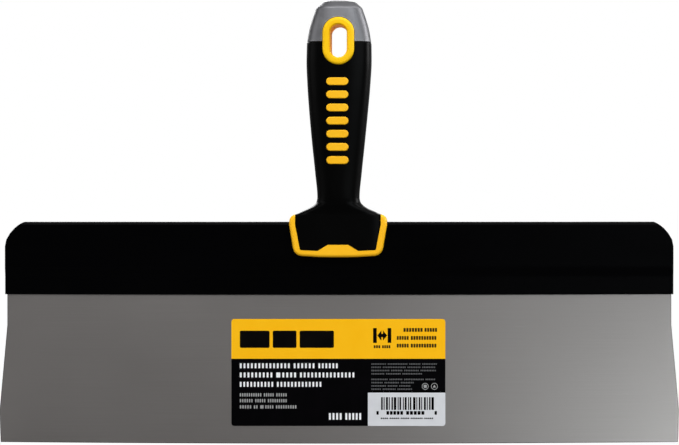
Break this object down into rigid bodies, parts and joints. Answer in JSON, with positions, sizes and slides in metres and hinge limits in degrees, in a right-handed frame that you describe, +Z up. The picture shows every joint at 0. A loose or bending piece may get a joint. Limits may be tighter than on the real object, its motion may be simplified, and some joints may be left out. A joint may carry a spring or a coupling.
{
  "type": "drywall taping knife",
  "caption": "Wide drywall taping knife: thin flared steel blade in a folded black back, with a soft-grip handle, metal hammer end and hanging slot.",
  "frame": {"origin": "middle of the blade's working edge, at mid thickness", "axes": "+X along the blade, +Y through its thickness away from the labelled face, +Z up the handle towards the hammer end"},
  "size_m": [0.4064, 0.0292, 0.2651],
  "materials": {
    "blade_steel": "stainless sheet with a fine brushed grain along the blade",
    "back_paint": "smooth black paint with a soft sheen",
    "label_print": "coated label, a yellow band over black, with a light grey panel and plain greeked marks",
    "tang_steel": "plain rolled steel",
    "yellow_plastic": "warm yellow moulded plastic with a slight sheen",
    "grip_rubber": "black soft-touch overmould, matte with a very fine texture",
    "cap_metal": "satin grey steel, softly bead blasted"
  },
  "bodies": {
    "root": {"blade": "blade_steel", "blade_back": "back_paint", "label": "label_print", "tang": "tang_steel", "tang_rivet_left": "tang_steel", "tang_rivet_middle": "tang_steel", "tang_rivet_right": "tang_steel", "handle_core": "yellow_plastic", "grip": "grip_rubber", "end_cap": "cap_metal", "hang_ring_front": "yellow_plastic", "hang_ring_rear": "yellow_plastic"}
  },
  "joints": []
}
